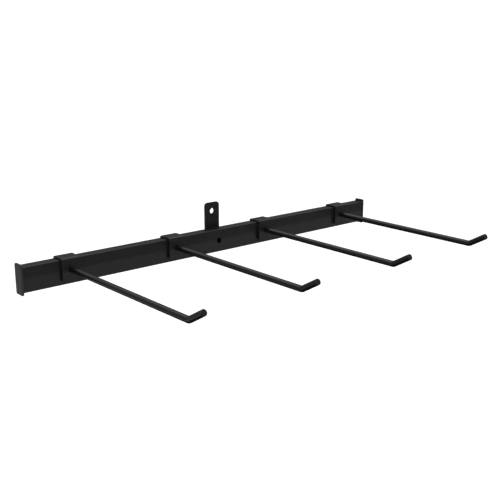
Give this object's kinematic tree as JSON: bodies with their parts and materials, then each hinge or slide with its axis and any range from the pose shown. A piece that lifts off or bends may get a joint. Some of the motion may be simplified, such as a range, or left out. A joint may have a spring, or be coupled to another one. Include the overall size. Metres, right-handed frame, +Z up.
{
  "type": "wall cue rack",
  "caption": "Wall rail with sliding saddle hooks: straight prongs with raised tips that cues, straps or handles hang on.",
  "frame": {"origin": "on the wall plane, where the lower screw hole comes out of the strap's back: the middle of the rail's length and height", "axes": "+X along the rail to the right as seen from the room, +Y into the wall, +Z up"},
  "size_m": [0.61, 0.2964, 0.0728],
  "materials": {
    "rail_coat": "satin black powder coat",
    "saddle_coat": "satin black powder coat",
    "prong_coat": "semi-gloss black powder coat",
    "cap_plastic": "fine-textured black moulded plastic"
  },
  "bodies": {
    "rail": {"rail_tube": "rail_coat", "wall_strap": "rail_coat", "strap_welds": "rail_coat", "end_cap_left": "cap_plastic", "end_cap_right": "cap_plastic"},
    "hook_1": {"saddle_1": "saddle_coat", "prong_1": "prong_coat", "root_weld_1": "saddle_coat"},
    "hook_2": {"saddle_2": "saddle_coat", "prong_2": "prong_coat", "root_weld_2": "saddle_coat"},
    "hook_3": {"saddle_3": "saddle_coat", "prong_3": "prong_coat", "root_weld_3": "saddle_coat"},
    "hook_4": {"saddle_4": "saddle_coat", "prong_4": "prong_coat", "root_weld_4": "saddle_coat"}
  },
  "joints": [
    {"name": "hook_1_slide", "type": "slide", "parent": "rail", "child": "hook_1", "axis": [1, 0, 0], "range_m": [-0.0502, 0.0681]},
    {"name": "hook_2_slide", "type": "slide", "parent": "rail", "child": "hook_2", "axis": [1, 0, 0], "range_m": [-0.0681, 0.0491]},
    {"name": "hook_3_slide", "type": "slide", "parent": "rail", "child": "hook_3", "axis": [1, 0, 0], "range_m": [-0.0572, 0.0681]},
    {"name": "hook_4_slide", "type": "slide", "parent": "rail", "child": "hook_4", "axis": [1, 0, 0], "range_m": [-0.0681, 0.0422]}
  ]
}
